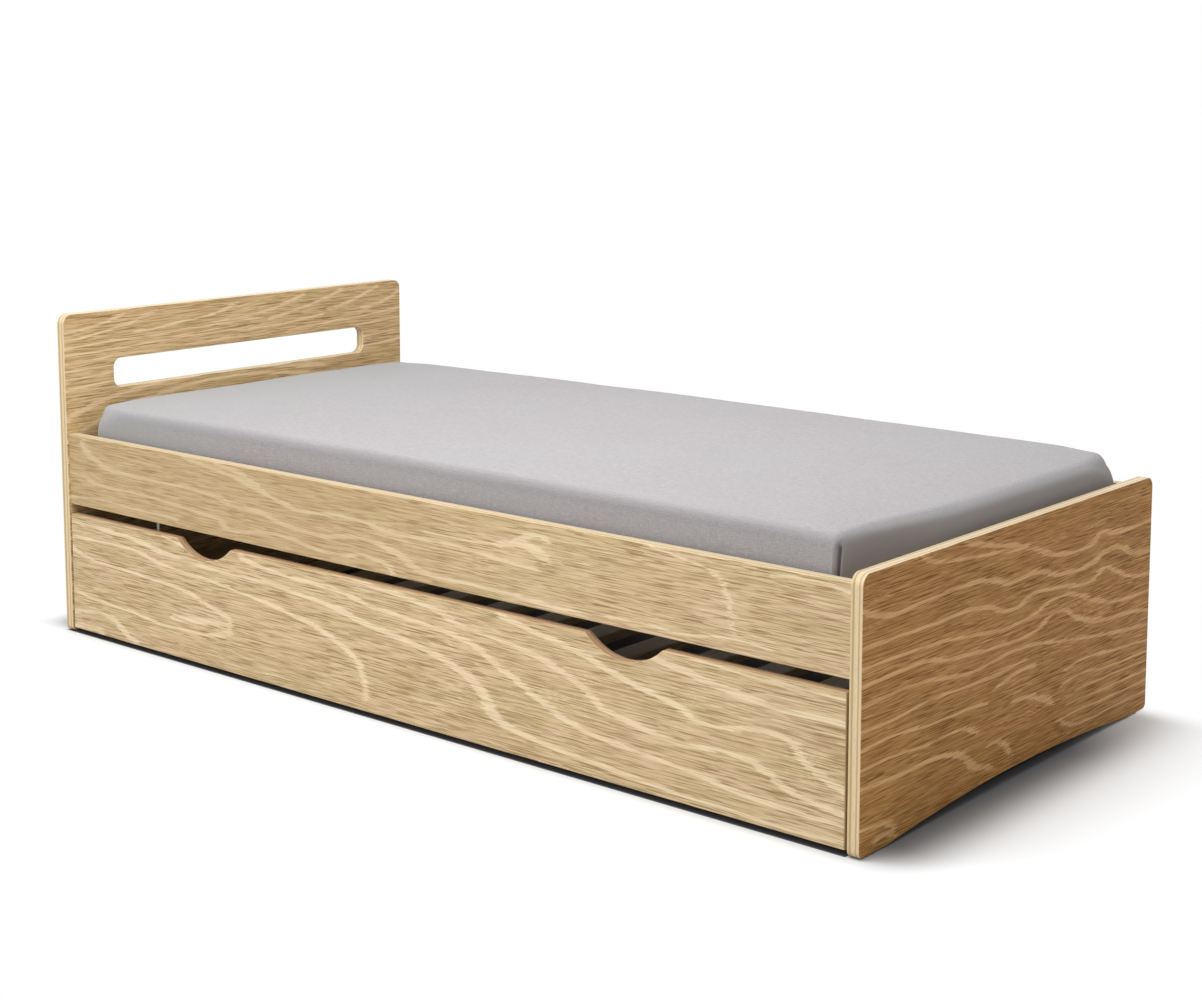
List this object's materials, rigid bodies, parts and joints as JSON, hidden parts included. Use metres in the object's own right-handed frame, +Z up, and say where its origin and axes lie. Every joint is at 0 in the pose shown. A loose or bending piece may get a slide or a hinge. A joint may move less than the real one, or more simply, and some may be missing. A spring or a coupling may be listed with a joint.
{
  "type": "trundle bed",
  "caption": "Single bed in veneered plywood with a slotted headboard, a slatted base and mattress, and a wheeled trundle with grip scoops that rolls out from under it.",
  "frame": {"origin": "on the floor under the middle of the bed's length and width", "axes": "+X runs along the bed to the footboard, -Y to the open side where the trundle rolls out, +Z up"},
  "size_m": [1.96, 0.956, 0.664],
  "materials": {
    "oak_plywood": "matt oiled oak veneer with bare ply edges",
    "pine": "planed, unfinished",
    "beech": "turned, unfinished",
    "webbing": "flat woven tape",
    "zinc_steel": "bright zinc plate",
    "castor_nylon": "moulded nylon",
    "tyre_rubber": "soft grey rubber",
    "glide_nylon": "moulded nylon",
    "buffer_rubber": "soft rubber",
    "woven_cover": "grey heathered weave over foam"
  },
  "bodies": {
    "bed_frame": {"headboard": "oak_plywood", "footboard": "oak_plywood", "front_rail": "oak_plywood", "back_rail": "oak_plywood", "front_slat_cleat": "pine", "back_slat_cleat": "pine", "bed_slats": "pine", "front_slat_tape": "webbing", "back_slat_tape": "webbing", "rail_cam_bolts": "zinc_steel", "rail_cam_locks": "zinc_steel", "rail_dowels": "beech", "cleat_screws": "zinc_steel", "bed_slat_screws": "zinc_steel", "foot_glides": "glide_nylon", "head_stop_block": "pine", "foot_stop_block": "pine", "stop_screws": "zinc_steel", "stop_buffers": "buffer_rubber", "mattress": "woven_cover"},
    "trundle": {"trundle_front": "oak_plywood", "trundle_back": "oak_plywood", "head_bearer": "pine", "foot_bearer": "pine", "trundle_front_cleat": "pine", "trundle_back_cleat": "pine", "trundle_slats": "pine", "trundle_front_tape": "webbing", "trundle_back_tape": "webbing", "trundle_cleat_screws": "zinc_steel", "trundle_slat_screws": "zinc_steel", "bracket_screws": "zinc_steel", "castor_screws": "zinc_steel", "head_front_bracket": "zinc_steel", "head_front_castor_fork": "zinc_steel", "head_front_castor_axle": "zinc_steel", "head_back_bracket": "zinc_steel", "head_back_castor_fork": "zinc_steel", "head_back_castor_axle": "zinc_steel", "foot_front_bracket": "zinc_steel", "foot_front_castor_fork": "zinc_steel", "foot_front_castor_axle": "zinc_steel", "foot_back_bracket": "zinc_steel", "foot_back_castor_fork": "zinc_steel", "foot_back_castor_axle": "zinc_steel"},
    "head_front_wheel": {"head_front_wheel_hub": "castor_nylon", "head_front_wheel_tyre": "tyre_rubber"},
    "head_back_wheel": {"head_back_wheel_hub": "castor_nylon", "head_back_wheel_tyre": "tyre_rubber"},
    "foot_front_wheel": {"foot_front_wheel_hub": "castor_nylon", "foot_front_wheel_tyre": "tyre_rubber"},
    "foot_back_wheel": {"foot_back_wheel_hub": "castor_nylon", "foot_back_wheel_tyre": "tyre_rubber"}
  },
  "joints": [
    {"name": "trundle_slide", "type": "slide", "parent": "bed_frame", "child": "trundle", "axis": [0, -1, 0], "range_m": [0, 0.94]},
    {"name": "head_front_wheel_roll", "type": "hinge", "parent": "trundle", "child": "head_front_wheel", "pos_m": [-0.908, -0.359, 0.03], "axis": [1, 0, 0], "continuous": true},
    {"name": "head_back_wheel_roll", "type": "hinge", "parent": "trundle", "child": "head_back_wheel", "pos_m": [-0.908, 0.345, 0.03], "axis": [1, 0, 0], "continuous": true},
    {"name": "foot_front_wheel_roll", "type": "hinge", "parent": "trundle", "child": "foot_front_wheel", "pos_m": [0.908, -0.359, 0.03], "axis": [1, 0, 0], "continuous": true},
    {"name": "foot_back_wheel_roll", "type": "hinge", "parent": "trundle", "child": "foot_back_wheel", "pos_m": [0.908, 0.345, 0.03], "axis": [1, 0, 0], "continuous": true}
  ],
  "couplings": [
    {"joint": "head_front_wheel_roll", "follows": "trundle_slide", "rad_per_m": 33.333},
    {"joint": "head_back_wheel_roll", "follows": "trundle_slide", "rad_per_m": 33.333},
    {"joint": "foot_front_wheel_roll", "follows": "trundle_slide", "rad_per_m": 33.333},
    {"joint": "foot_back_wheel_roll", "follows": "trundle_slide", "rad_per_m": 33.333}
  ]
}
